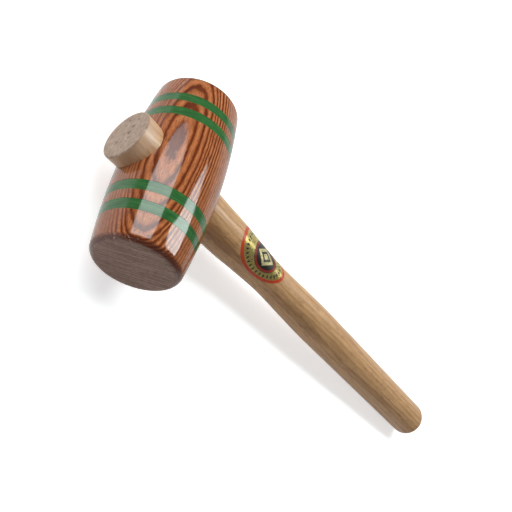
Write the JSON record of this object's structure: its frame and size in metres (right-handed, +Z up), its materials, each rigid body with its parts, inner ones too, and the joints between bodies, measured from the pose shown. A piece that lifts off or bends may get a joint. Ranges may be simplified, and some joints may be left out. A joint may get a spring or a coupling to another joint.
{
  "type": "wooden mallet",
  "caption": "Round turned carpenter's mallet: a lacquered barrel head with painted bands, wedged on the tapered root of a waisted round handle, lying on its side.",
  "frame": {"origin": "middle of the bottom of the box round the lying mallet, on the surface that it lies on", "axes": "+Z up; +Y along the head, from the front striking face to the back one; +X along the plan view of the handle, from the head to the grip end. The handle slopes down by 2.87 degrees towards +X, because the head and the grip end both rest on Z = 0"},
  "size_m": [0.3948, 0.128, 0.064],
  "materials": {
    "head_wood": "gloss lacquer over orange-brown flat-sawn wood with dark growth lines",
    "handle_wood": "satin varnish over pale straight-grained wood",
    "band_paint": "gloss green paint",
    "label_foil": "printed gold foil sticker"
  },
  "bodies": {
    "root": {"head": "head_wood", "handle": "handle_wood", "handle_label": "label_foil", "front_outer_band": "band_paint", "front_inner_band": "band_paint", "back_inner_band": "band_paint", "back_outer_band": "band_paint"}
  },
  "joints": []
}
